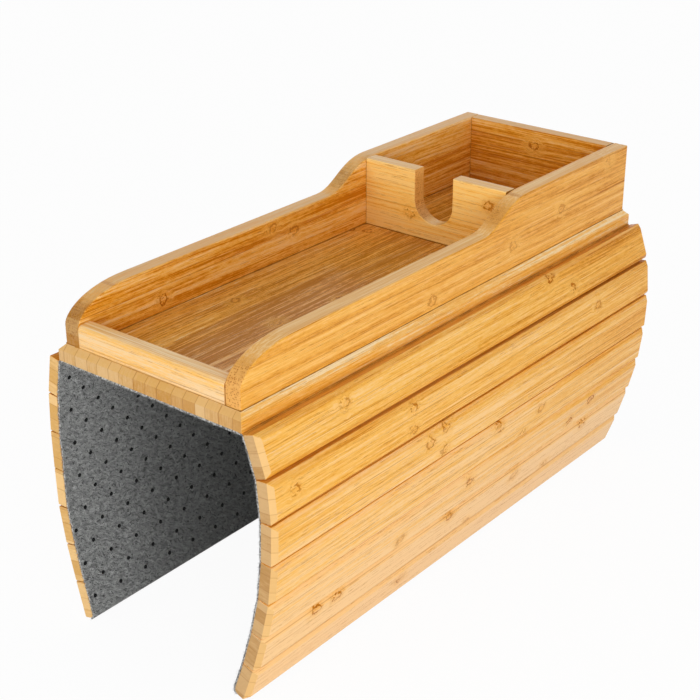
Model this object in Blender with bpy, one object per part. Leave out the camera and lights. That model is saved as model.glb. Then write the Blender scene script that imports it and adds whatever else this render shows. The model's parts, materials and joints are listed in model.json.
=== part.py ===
"""Sofa tray table: a slatted bamboo armrest tray that carries a box with a phone bay and a cup bay.

Units are metres, +Z is up. X runs across the sofa arm, and +Y runs from the low phone end to the high cup end.
The origin is the centre of the felt face that lies on the arm.
"""

import math

import bmesh
import bpy
from mathutils import Matrix, Vector

MM = 0.001

# Glue lines and running gaps
GLUE_GAP = 0.3 * MM  # between two glued faces
DOWEL_FIT = 0.2 * MM  # round a dowel in its hole, on the radius
SLAT_GAP = 0.3 * MM  # between the edges of two slats laid flat
FELT_SLIT = 0.3 * MM  # between two felt strips at a hinge that is folded as far as it goes

# Centre panel and felt
PANEL_WIDTH = 141.5 * MM
PANEL_LENGTH = 400.0 * MM
PANEL_THICKNESS = 10.3 * MM
PANEL_CHAMFER = 3.4 * MM
FELT_THICKNESS = 1.0 * MM

# Slats of the two wings, and how far each one is folded down from the one before it (0 is flat)
SLAT_WIDTH = 24.7 * MM
SLAT_THICKNESS = 10.1 * MM
SLAT_CHAMFER = 2.8 * MM
TIP_ROUND = 3.5 * MM  # felt-side edge of each wing's last slat
RIGHT_FOLDS_DEG = (71.0, 13.6, 7.4, 4.8, 6.8, 3.0, 3.1)
LEFT_FOLDS_DEG = (80.0, 6.6, 3.6, 1.0, 7.6, 4.0, 1.3)
FULL_FOLDS_DEG = (84.0, 14.0, 8.0, 8.0, 8.0, 8.0, 8.0)

# Box: heights are above the top of the panel
SIDE_THICKNESS = 11.0 * MM
CROSS_THICKNESS = 10.0 * MM
LOW_HEIGHT = 30.0 * MM
HIGH_HEIGHT = 46.8 * MM
FRONT_HEIGHT = 14.0 * MM
PHONE_BAY_LENGTH = 249.4 * MM
NOSE_HEIGHT = 12.0 * MM  # upright part of a side wall's front end
NOSE_RUN = 46.0 * MM  # from the front end to the level top
NOSE_PULL_UP = 6.0 * MM
NOSE_PULL_BACK = 33.0 * MM
RAMP_RUN = 50.0 * MM  # length of the S-curve between the two heights
RAMP_PAST_DIVIDER = 0.6 * MM  # from the divider's rear face to the end of the S-curve
RAMP_PULL_LOW = 18.0 * MM
RAMP_PULL_HIGH = 26.0 * MM
SIDE_EDGE_ROUND = 1.0 * MM
CROSS_EDGE_ROUND = 0.6 * MM
FRONT_TOP_ROUND = 3.0 * MM

# U notch in the divider
NOTCH_RADIUS = 15.0 * MM
NOTCH_FLOOR = 12.0 * MM

# Dowels between the side walls and the cross walls
DOWEL_DIAMETER = 5.0 * MM
DOWEL_LENGTH = 18.0 * MM
DOWEL_IN_SIDE = 6.0 * MM
DOWEL_CHAMFER = 0.5 * MM
DOWEL_FROM_EDGE = 11.0 * MM  # height of a dowel pair's axes from the wall's lower and upper edge

# Fineness of the round forms
CURVE_STEPS = 16
ROUND_STEPS = 3
DOWEL_SIDES = 24
SMOOTH_ANGLE = math.radians(30)
FLAT_ANGLE = math.radians(0.1)
SAME_PLACE = 0.001 * MM

# Sizes that follow from the ones above
PANEL_BOTTOM = FELT_THICKNESS + GLUE_GAP
PANEL_TOP = PANEL_BOTTOM + PANEL_THICKNESS
HINGE_HEIGHT = PANEL_BOTTOM / 2  # the felt bends about its middle
SLAT_START = SLAT_GAP / 2  # from a slat's hinge to its near edge
SLAT_END = SLAT_START + SLAT_WIDTH
SLAT_PITCH = SLAT_WIDTH + SLAT_GAP
FIRST_HINGE = PANEL_WIDTH / 2 + SLAT_GAP / 2
FELT_SLITS = tuple(
    FELT_SLIT + 2 * HINGE_HEIGHT * math.tan(math.radians(full) / 2) for full in FULL_FOLDS_DEG
)
BOX_WIDTH = PANEL_WIDTH - 2 * PANEL_CHAMFER
BOX_LENGTH = PANEL_LENGTH - 2 * PANEL_CHAMFER
BOX_FRONT = -BOX_LENGTH / 2
BOX_BOTTOM = PANEL_TOP + GLUE_GAP
CROSS_WIDTH = BOX_WIDTH - 2 * SIDE_THICKNESS - 2 * GLUE_GAP
DIVIDER_MIDDLE = BOX_FRONT + CROSS_THICKNESS + PHONE_BAY_LENGTH + CROSS_THICKNESS / 2

BAMBOO_PALE = (0.78, 0.50, 0.20, 1.0)
BAMBOO_HONEY = (0.74, 0.44, 0.15, 1.0)
BEECH = (0.62, 0.42, 0.24, 1.0)
FELT_GREY = (0.16, 0.16, 0.16, 1.0)


def clear_scene():
    """Remove what the file starts with."""
    for obj in list(bpy.data.objects):
        bpy.data.objects.remove(obj, do_unlink=True)


def new_collection(name, shown=True):
    """Return a new collection under the scene's own; one that isn't shown holds cutters."""
    collection = bpy.data.collections.new(name)
    collection.hide_render = not shown
    bpy.context.scene.collection.children.link(collection)
    return collection


def new_material(name, colour, roughness):
    """Return a non-metallic Principled material."""
    material = bpy.data.materials.new(name)
    material.use_nodes = True
    material.diffuse_color = colour
    shader = material.node_tree.nodes["Principled BSDF"]
    shader.inputs["Base Color"].default_value = colour
    shader.inputs["Roughness"].default_value = roughness
    shader.inputs["Metallic"].default_value = 0.0
    return material


def new_empty(name, location, turn, parent, collection):
    """Return an empty that carries what is fixed to it."""
    empty = bpy.data.objects.new(name, None)
    empty.empty_display_size = SLAT_WIDTH
    empty.location = location
    empty.rotation_euler = turn
    empty.parent = parent
    collection.objects.link(empty)
    return empty


def new_object(name, mesh, material, collection, location=(0, 0, 0), turn=(0, 0, 0), parent=None):
    """Place a mesh as a named sub-part."""
    if not mesh.materials:
        mesh.materials.append(material)
    obj = bpy.data.objects.new(name, mesh)
    obj.location = location
    obj.rotation_euler = turn
    obj.parent = parent
    collection.objects.link(obj)
    return obj


def mesh_from(bm, name):
    """Write a bmesh to a new mesh, round faces smooth and corners sharp."""
    mesh = bpy.data.meshes.new(name)
    bm.to_mesh(mesh)
    bm.free()
    mesh.shade_smooth()
    mesh.set_sharp_from_angle(angle=SMOOTH_ANGLE)
    return mesh


def block(low, high):
    """Return a bmesh box between two corners."""
    size = Vector(high) - Vector(low)
    middle = (Vector(high) + Vector(low)) / 2
    bm = bmesh.new()
    bmesh.ops.create_cube(bm, size=1.0, matrix=Matrix.Translation(middle) @ Matrix.Diagonal(size).to_4x4())
    return bm


def edges_where(bm, test):
    """Return the edges with both ends passing the test."""
    return [edge for edge in bm.edges if all(test(vert.co) for vert in edge.verts)]


def free_rim(bm, *glued):
    """Return the edges round the two flat faces of an extruded outline that lie in no glued face."""
    hidden = set().union(*(edges_where(bm, test) for test in glued))
    return [
        edge
        for edge in bm.edges
        if edge not in hidden and abs(edge.verts[0].co.z - edge.verts[1].co.z) < SAME_PLACE
    ]


def bevel(bm, edges, width, steps=1):
    """Chamfer the edges, or round them when there is more than one step."""
    bmesh.ops.bevel(
        bm, geom=edges, offset=width, offset_type="OFFSET", segments=steps, profile=0.5, affect="EDGES"
    )


def extruded_outline(name, knots, thickness):
    """Return a bmesh of a flat outline, thickness along local Z.

    Each knot is (point, handle before, handle after), and a handle of None makes that side straight.
    """
    curve = bpy.data.curves.new(name, "CURVE")
    curve.dimensions = "2D"
    curve.fill_mode = "BOTH"
    curve.extrude = thickness / 2
    curve.resolution_u = CURVE_STEPS
    spline = curve.splines.new("BEZIER")
    spline.use_cyclic_u = True
    spline.bezier_points.add(len(knots) - 1)
    for knot, (point, before, after) in zip(spline.bezier_points, knots):
        knot.co = (*point, 0)
        knot.handle_left_type = "FREE" if before else "VECTOR"
        knot.handle_right_type = "FREE" if after else "VECTOR"
        knot.handle_left = (*(before or point), 0)
        knot.handle_right = (*(after or point), 0)
    guide = bpy.data.objects.new(name, curve)
    bpy.context.scene.collection.objects.link(guide)
    bpy.context.view_layer.update()
    graph = bpy.context.evaluated_depsgraph_get()
    filled = bpy.data.meshes.new_from_object(guide.evaluated_get(graph))
    bm = bmesh.new()
    bm.from_mesh(filled)
    bmesh.ops.remove_doubles(bm, verts=bm.verts, dist=SAME_PLACE)
    bmesh.ops.dissolve_limit(bm, angle_limit=FLAT_ANGLE, verts=bm.verts, edges=bm.edges)
    bmesh.ops.recalc_face_normals(bm, faces=bm.faces)
    bpy.data.objects.remove(guide)
    bpy.data.curves.remove(curve)
    bpy.data.meshes.remove(filled)
    return bm


def cut(obj, cutter):
    """Take the cutter's shape out of the object."""
    modifier = obj.modifiers.new(cutter.name, "BOOLEAN")
    modifier.operation = "DIFFERENCE"
    modifier.solver = "EXACT"
    modifier.object = cutter


def centre_panel(parts, material):
    """Board under the box, its top edges chamfered from the box's outer faces down."""
    half_width, half_length = PANEL_WIDTH / 2, PANEL_LENGTH / 2
    bm = block((-half_width, -half_length, 0), (half_width, half_length, PANEL_THICKNESS))
    bevel(bm, edges_where(bm, lambda co: co.z > PANEL_THICKNESS - SAME_PLACE), PANEL_CHAMFER)
    return new_object("centre_panel", mesh_from(bm, "centre_panel"), material, parts, (0, 0, PANEL_BOTTOM))


def felt_strip(name, low_x, high_x, exposed_z):
    """Mesh of a felt strip as long as the panel, its exposed face at the given height."""
    low = (low_x, -PANEL_LENGTH / 2, exposed_z)
    high = (high_x, PANEL_LENGTH / 2, exposed_z + FELT_THICKNESS)
    return mesh_from(block(low, high), name)


def slat_mesh(name, is_tip):
    """Mesh of one slat in its hinge's frame: the axis is Y through the origin, the slat runs along +X."""
    bottom = PANEL_BOTTOM - HINGE_HEIGHT
    top = bottom + SLAT_THICKNESS
    bm = block((SLAT_START, -PANEL_LENGTH / 2, bottom), (SLAT_END, PANEL_LENGTH / 2, top))
    bevel(bm, edges_where(bm, lambda co: co.z > top - SAME_PLACE), SLAT_CHAMFER)
    if is_tip:
        tip = edges_where(bm, lambda co: co.z < bottom + SAME_PLACE and co.x > SLAT_END - SAME_PLACE)
        bevel(bm, tip, TIP_ROUND, ROUND_STEPS)
    return mesh_from(bm, name)


def wing(side, folds, turn_to_side, parts, wood, felt):
    """Chain of slats on one side of the panel, each hinged at the middle of the felt."""
    carrier = new_empty(f"wing_{side}", (0, 0, HINGE_HEIGHT), (0, 0, turn_to_side), None, parts)
    slat, tip = slat_mesh("slat", False), slat_mesh("slat_tip", True)
    felt_ends = [SLAT_PITCH - slit / 2 for slit in FELT_SLITS[1:]] + [SLAT_END - TIP_ROUND]
    reach = FIRST_HINGE
    for number, fold in enumerate(folds, start=1):
        is_tip = number == len(folds)
        turn = (0, math.radians(fold), 0)
        carrier = new_empty(f"hinge_{side}_{number}", (reach, 0, 0), turn, carrier, parts)
        new_object(f"slat_{side}_{number}", tip if is_tip else slat, wood, parts, parent=carrier)
        felt_name = f"felt_{side}_{number}"
        felt_start, felt_end = FELT_SLITS[number - 1] / 2, felt_ends[number - 1]
        strip = felt_strip(felt_name, felt_start, felt_end, -HINGE_HEIGHT)
        new_object(felt_name, strip, felt, parts, parent=carrier)
        reach = SLAT_PITCH


def side_wall(side, sign, parts, material):
    """Long wall of the box: upright nose, level low part, S-curve, level high part."""
    ramp_end = DIVIDER_MIDDLE + CROSS_THICKNESS / 2 + RAMP_PAST_DIVIDER - BOX_FRONT
    ramp_start = ramp_end - RAMP_RUN
    low, high = LOW_HEIGHT - GLUE_GAP, HIGH_HEIGHT - GLUE_GAP
    nose = NOSE_HEIGHT - GLUE_GAP
    knots = (
        ((0, 0), None, None),
        ((0, nose), None, (0, nose + NOSE_PULL_UP)),
        ((NOSE_RUN, low), (NOSE_RUN - NOSE_PULL_BACK, low), None),
        ((ramp_start, low), None, (ramp_start + RAMP_PULL_LOW, low)),
        ((ramp_end, high), (ramp_end - RAMP_PULL_HIGH, high), None),
        ((BOX_LENGTH, high), None, None),
        ((BOX_LENGTH, 0), None, None),
    )
    bm = extruded_outline(f"side_wall_{side}", knots, SIDE_THICKNESS)
    bevel(bm, free_rim(bm, lambda co: co.y < SAME_PLACE), SIDE_EDGE_ROUND, ROUND_STEPS)
    middle = sign * (BOX_WIDTH - SIDE_THICKNESS) / 2
    turn = (math.pi / 2, 0, math.pi / 2)
    mesh = mesh_from(bm, f"side_wall_{side}")
    return new_object(f"side_wall_{side}", mesh, material, parts, (middle, BOX_FRONT, BOX_BOTTOM), turn)


def front_wall(parts, material):
    """Low wall across the phone end, its outer top edge well rounded."""
    half = CROSS_THICKNESS / 2
    height = FRONT_HEIGHT - GLUE_GAP
    bm = block((-CROSS_WIDTH / 2, -half, 0), (CROSS_WIDTH / 2, half, height))
    outer = edges_where(bm, lambda co: co.z > height - SAME_PLACE and co.y < 0)
    bevel(bm, outer, FRONT_TOP_ROUND, ROUND_STEPS)
    inner = edges_where(bm, lambda co: co.z > height - SAME_PLACE and co.y > half - SAME_PLACE)
    bevel(bm, inner, CROSS_EDGE_ROUND, ROUND_STEPS)
    place = (0, BOX_FRONT + half, BOX_BOTTOM)
    return new_object("front_wall", mesh_from(bm, "front_wall"), material, parts, place)


def divider(parts, material):
    """High cross wall with a U notch, open at the top, for a cable or a stem."""
    height = HIGH_HEIGHT - GLUE_GAP
    floor = NOTCH_FLOOR - GLUE_GAP
    centre = floor + NOTCH_RADIUS
    pull = NOTCH_RADIUS * 4 / 3 * math.tan(math.pi / 8)  # handle length of a quarter circle
    half = CROSS_WIDTH / 2
    knots = (
        ((-half, 0), None, None),
        ((half, 0), None, None),
        ((half, height), None, None),
        ((NOTCH_RADIUS, height), None, None),
        ((NOTCH_RADIUS, centre), None, (NOTCH_RADIUS, centre - pull)),
        ((0, floor), (pull, floor), (-pull, floor)),
        ((-NOTCH_RADIUS, centre), (-NOTCH_RADIUS, centre - pull), None),
        ((-NOTCH_RADIUS, height), None, None),
        ((-half, height), None, None),
    )
    bm = extruded_outline("divider", knots, CROSS_THICKNESS)
    underside = lambda co: co.y < SAME_PLACE
    left_end = lambda co: co.x < SAME_PLACE - half
    right_end = lambda co: co.x > half - SAME_PLACE
    bevel(bm, free_rim(bm, underside, left_end, right_end), CROSS_EDGE_ROUND, ROUND_STEPS)
    place = (0, DIVIDER_MIDDLE, BOX_BOTTOM)
    return new_object("divider", mesh_from(bm, "divider"), material, parts, place, (math.pi / 2, 0, 0))


def rear_wall(parts, material):
    """High wall across the cup end."""
    half = CROSS_THICKNESS / 2
    height = HIGH_HEIGHT - GLUE_GAP
    bm = block((-CROSS_WIDTH / 2, -half, 0), (CROSS_WIDTH / 2, half, height))
    for face in (-1, 1):
        edge = edges_where(bm, lambda co: co.z > height - SAME_PLACE and co.y * face > half - SAME_PLACE)
        bevel(bm, edge, CROSS_EDGE_ROUND, ROUND_STEPS)
    place = (0, BOX_FRONT + BOX_LENGTH - half, BOX_BOTTOM)
    return new_object("rear_wall", mesh_from(bm, "rear_wall"), material, parts, place)


def dowel_mesh(name, radius, length, chamfer=0):
    """Mesh of a cylinder along X about the origin, its ends chamfered or plain."""
    bm = bmesh.new()
    bmesh.ops.create_cone(
        bm,
        cap_ends=True,
        segments=DOWEL_SIDES,
        radius1=radius,
        radius2=radius,
        depth=length,
        matrix=Matrix.Rotation(math.pi / 2, 4, "Y"),
    )
    if chamfer:
        ends = [edge for edge in bm.edges if abs(edge.verts[0].co.x - edge.verts[1].co.x) < SAME_PLACE]
        bevel(bm, ends, chamfer)
    return mesh_from(bm, name)


def dowels(cross_wall, name, heights, side_walls, meshes, parts, cutters, material):
    """Dowels that hold a cross wall between the side walls, and the holes they sit in."""
    dowel, hole = meshes
    for side, (sign, side_wall_object) in side_walls.items():
        middle_x = sign * (BOX_WIDTH / 2 - SIDE_THICKNESS + DOWEL_IN_SIDE - DOWEL_LENGTH / 2)
        for level, height in heights.items():
            place = (middle_x, cross_wall.location.y, PANEL_TOP + height)
            piece = "_".join(filter(None, ("dowel", name, side, level)))
            new_object(piece, dowel, material, parts, place)
            cutter = new_object(f"{piece}_hole", hole, material, cutters, place)
            cutter.hide_render = True
            cutter.display_type = "WIRE"
            cut(cross_wall, cutter)
            cut(side_wall_object, cutter)


def main():
    """Build the tray at rest."""
    clear_scene()
    parts = new_collection("sofa_tray_table")
    cutters = new_collection("cutters", shown=False)
    wall_wood = new_material("bamboo_wall", BAMBOO_HONEY, 0.42)
    panel_wood = new_material("bamboo_panel", BAMBOO_HONEY, 0.45)
    slat_wood = new_material("bamboo_slat", BAMBOO_PALE, 0.42)
    dowel_wood = new_material("beech_dowel", BEECH, 0.6)
    felt = new_material("grey_felt", FELT_GREY, 0.95)

    centre_panel(parts, panel_wood)
    felt_half = FIRST_HINGE - FELT_SLITS[0] / 2
    new_object("felt_centre", felt_strip("felt_centre", -felt_half, felt_half, 0), felt, parts)

    side_walls = {
        "left": (-1, side_wall("left", -1, parts, wall_wood)),
        "right": (1, side_wall("right", 1, parts, wall_wood)),
    }
    dowel_meshes = (
        dowel_mesh("dowel", DOWEL_DIAMETER / 2, DOWEL_LENGTH, DOWEL_CHAMFER),
        dowel_mesh("dowel_hole", DOWEL_DIAMETER / 2 + DOWEL_FIT, DOWEL_LENGTH + 2 * GLUE_GAP),
    )
    pair = {"lower": DOWEL_FROM_EDGE, "upper": HIGH_HEIGHT - DOWEL_FROM_EDGE}
    for name, cross_wall, heights in (
        ("front", front_wall(parts, wall_wood), {"": FRONT_HEIGHT / 2}),
        ("divider", divider(parts, wall_wood), pair),
        ("rear", rear_wall(parts, wall_wood), pair),
    ):
        dowels(cross_wall, name, heights, side_walls, dowel_meshes, parts, cutters, dowel_wood)

    wing("right", RIGHT_FOLDS_DEG, 0, parts, slat_wood, felt)
    wing("left", LEFT_FOLDS_DEG, math.pi, parts, slat_wood, felt)


main()
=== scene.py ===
"""Looks of the sofa tray table: lacquered bamboo, a felt backing with rubber dots, and a white studio."""

import json
import logging
import math
import random
from dataclasses import dataclass, field, replace
from enum import Enum
from functools import partialmethod
from typing import Iterable, Sequence

import bmesh
import bpy
from bmesh.types import BMesh, BMVert
from bpy.types import ID, Material, Node, NodeSocket as Socket, Object, World
from mathutils import Matrix, Vector

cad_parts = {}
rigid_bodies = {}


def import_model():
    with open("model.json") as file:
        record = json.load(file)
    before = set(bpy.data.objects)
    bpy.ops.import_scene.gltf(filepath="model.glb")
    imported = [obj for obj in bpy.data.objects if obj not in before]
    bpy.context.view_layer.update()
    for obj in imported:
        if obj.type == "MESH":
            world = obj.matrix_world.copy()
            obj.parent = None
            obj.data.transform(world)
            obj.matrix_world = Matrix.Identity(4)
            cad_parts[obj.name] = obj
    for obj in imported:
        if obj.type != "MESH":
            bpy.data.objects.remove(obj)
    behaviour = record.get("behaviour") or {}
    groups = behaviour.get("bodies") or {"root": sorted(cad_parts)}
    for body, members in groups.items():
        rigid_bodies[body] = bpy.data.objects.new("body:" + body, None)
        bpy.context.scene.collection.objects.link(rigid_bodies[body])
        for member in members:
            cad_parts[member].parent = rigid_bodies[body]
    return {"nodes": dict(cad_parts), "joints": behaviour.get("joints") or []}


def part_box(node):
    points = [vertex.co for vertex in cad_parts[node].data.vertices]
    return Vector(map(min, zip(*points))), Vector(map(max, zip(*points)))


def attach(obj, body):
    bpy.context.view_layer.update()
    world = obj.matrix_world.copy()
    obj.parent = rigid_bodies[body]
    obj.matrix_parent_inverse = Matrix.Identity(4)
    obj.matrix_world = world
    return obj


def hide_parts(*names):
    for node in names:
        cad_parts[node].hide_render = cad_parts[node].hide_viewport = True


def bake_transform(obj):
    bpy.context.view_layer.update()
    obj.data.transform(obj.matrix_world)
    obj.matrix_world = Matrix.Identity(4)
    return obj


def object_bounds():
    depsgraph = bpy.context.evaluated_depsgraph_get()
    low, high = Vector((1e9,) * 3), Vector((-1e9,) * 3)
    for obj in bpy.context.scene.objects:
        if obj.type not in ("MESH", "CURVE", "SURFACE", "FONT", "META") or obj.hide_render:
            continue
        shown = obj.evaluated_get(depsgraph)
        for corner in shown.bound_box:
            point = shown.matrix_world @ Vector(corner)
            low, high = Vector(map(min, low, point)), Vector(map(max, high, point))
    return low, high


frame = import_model()
CAD_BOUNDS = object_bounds()

LOG = logging.getLogger("sofa_tray_table")
MM = 0.001
ROOT = "tray_top"
WHITE = (1.0, 1.0, 1.0, 1.0)
KNOTS_ALONG = (-190.0, 190.0)
EASED_EDGE = 0.30 * MM
EASE_STEPS = 2
WELD = 0.002 * MM
SHARP = math.radians(24)
Triple = tuple[float, float, float]
Colour = Triple
Span = tuple[float, float]
Knot = Span
Sockets = tuple[Socket, ...]


class Side(Enum):
    """The two wings; the value is the sign of their X."""

    RIGHT = 1
    LEFT = -1

    @property
    def word(self) -> str:
        """Return the side's name as it stands in joints and nodes."""
        return self.name.lower()


class Run(Enum):
    """How the bamboo strips of a board run: rows are across, along and through the strips, in X, Y, Z."""

    BOARD = ((1, 0, 0), (0, 1, 0), (0, 0, 1))
    LONG_WALL = ((0, 0, 1), (0, 1, 0), (-1, 0, 0))
    CROSS_WALL = ((0, 0, 1), (1, 0, 0), (0, 1, 0))


@dataclass(frozen=True)
class Pattern:
    """A noise pattern, its scale given for each axis in waves for one unit of the place it is laid on."""

    scale: Triple
    detail: float = 2.0
    rough: float = 0.5


class Grain:
    """Patterns of bamboo in millimetres; the axes run across, along and through the strips."""

    WANDER = Pattern((0.06, 1.0, 1.0), 0.0)
    FLECKS = Pattern((0.75, 0.17, 0.75), 3.0, 0.75)
    FINE_LINES = Pattern((0.95, 0.014, 0.95), 3.0, 0.7)
    BANDS = Pattern((0.20, 0.004, 0.20))
    STREAKS = Pattern((0.50, 0.008, 0.50), 3.0, 0.65)
    VESSELS = Pattern((0.42, 0.006, 0.42), 3.0, 0.7)
    JOINT_SHARE = Pattern((0.05, 0.01, 0.05), 1.0)
    SURFACE = Pattern((0.75, 0.08, 0.75))
    SAWN_LINES = Pattern((0.9, 0.02, 0.13), 2.0, 0.6)
    THICK_BUNDLES = Pattern((0.12,) * 3)
    KNOT_LINES = Pattern((0.20, 0.16, 0.20), 2.0, 0.6)
    KNOT_SIDES = Pattern((0.11,) * 3, 1.0)
    KNOT_SPECKS = Pattern((0.60, 0.36, 0.60), 2.0, 0.7)
    KNOT_STRENGTH = Pattern((0.02,) * 3, 0.0)


class Fluff:
    """Patterns of felt in millimetres; the fibres lie along the first axis."""

    CLUMPS = Pattern((0.22, 0.42, 1.0), 5.0, 0.8)
    TANGLE = Pattern((0.42, 0.90, 1.0), 4.0, 0.8)
    CROSSING = Pattern((0.45, 1.0, 1.0), 3.0, 0.75)


class NodeNet:
    """Adds and wires the shader nodes of one material or world."""

    def __init__(self, owner: Material | World) -> None:
        """Start from the nodes that the owner comes with."""
        owner.use_nodes = True
        self.owner = owner
        self.tree = owner.node_tree

    def wire(self, value: object, socket: Socket) -> None:
        """Link a socket to an input, or write a plain value on it."""
        if isinstance(value, Socket):
            self.tree.links.new(value, socket)
        else:
            socket.default_value = value

    def node(self, kind: str, inputs: dict[object, object] | None = None, **settings: object) -> Node:
        """Add a node.

        Args:
            kind: The node's type, without the ShaderNode prefix.
            inputs: Values or sockets for its inputs, by name or number.
            **settings: Attributes set before the inputs are wired.

        Returns:
            The new node.
        """
        made = self.tree.nodes.new("ShaderNode" + kind)
        for key, value in settings.items():
            setattr(made, key, value)
        for key, value in (inputs or {}).items():
            self.wire(value, made.inputs[key])
        return made

    def here(self, kind: str) -> Socket:
        """Return one of the texture coordinates of the point."""
        return self.node("TexCoord").outputs[kind]

    def math(self, operation: str, *values: object, clamp: bool = False) -> Socket:
        """Return the result of one math node."""
        return self.node("Math", dict(enumerate(values)), operation=operation, use_clamp=clamp).outputs[0]

    times = partialmethod(math, "MULTIPLY")
    times_plus = partialmethod(math, "MULTIPLY_ADD")
    plus = partialmethod(math, "ADD")
    minus = partialmethod(math, "SUBTRACT")
    larger = partialmethod(math, "MAXIMUM")

    def away(self, value: Socket, middle: float) -> Socket:
        """Return how far a value lies from another."""
        return self.math("ABSOLUTE", self.minus(value, middle))

    def vector(self, operation: str, *values: object, output: str = "Vector") -> Socket:
        """Return the result of one vector math node."""
        return self.node("VectorMath", dict(enumerate(values)), operation=operation).outputs[output]

    def noise(self, place: Socket, pattern: Pattern) -> Socket:
        """Return noise from 0 to 1."""
        scaled = self.vector("MULTIPLY", place, pattern.scale)
        inputs = {"Vector": scaled, "Scale": 1.0, "Detail": pattern.detail, "Roughness": pattern.rough}
        return self.node("TexNoise", inputs).outputs["Fac"]

    def remap(self, value: object, low: float, high: float, to_low: float = 0.0, to_high: float = 1.0) -> Socket:
        """Return a smooth, clamped step of a value between two limits."""
        inputs = {"Value": value, "From Min": low, "From Max": high, "To Min": to_low, "To Max": to_high}
        return self.node("MapRange", inputs, interpolation_type="SMOOTHSTEP").outputs["Result"]

    def mix(self, share: object, first: object, second: object, blend: str = "MIX") -> Socket:
        """Return two colours mixed; each is a socket, or a colour whose alpha is then 1."""
        made = self.node("Mix", data_type="RGBA", blend_type=blend)
        self.wire(share, made.inputs["Factor"])
        for key, colour in (("A", first), ("B", second)):
            self.wire(colour if isinstance(colour, Socket) else (*colour, 1.0), made.inputs[key])
        return made.outputs["Result"]

    def bump(self, height: Socket, strength: float, distance: float) -> Socket:
        """Return the normal of a surface with a fine relief."""
        return self.node("Bump", {"Strength": strength, "Distance": distance, "Height": height}).outputs[0]

    def finish(self, **inputs: object) -> Material:
        """Set or wire inputs of the Principled shader and return the material.

        Args:
            **inputs: Values or sockets, by the input's name with underscores for spaces.

        Returns:
            The material.
        """
        shader = self.tree.nodes["Principled BSDF"]
        for key, value in inputs.items():
            self.wire(value, shader.inputs[key.replace("_", " ")])
        return self.owner


@dataclass(frozen=True)
class GrainFrame:
    """Where a board's own axes lie: across its strips, along the fibres, and through its thickness."""

    across: Sequence[float]
    along: Sequence[float]
    through: Sequence[float]
    origin: Sequence[float] = (0.0, 0.0, 0.0)

    def turn(self) -> Matrix:
        """Return the rotation into the board's axes, its fibres turned end for end if that is needed."""
        rows = Matrix((self.across, self.along, self.through))
        if rows.determinant() < 0:
            rows[1] = -Vector(self.along)
        return rows

    def flat(self, knot: Knot) -> Vector:
        """Return a knot's place in the board's axes, in millimetres."""
        along, across = knot
        return Vector((across, along * self.turn()[1].dot(Vector(self.along)), 0.0))


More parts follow.
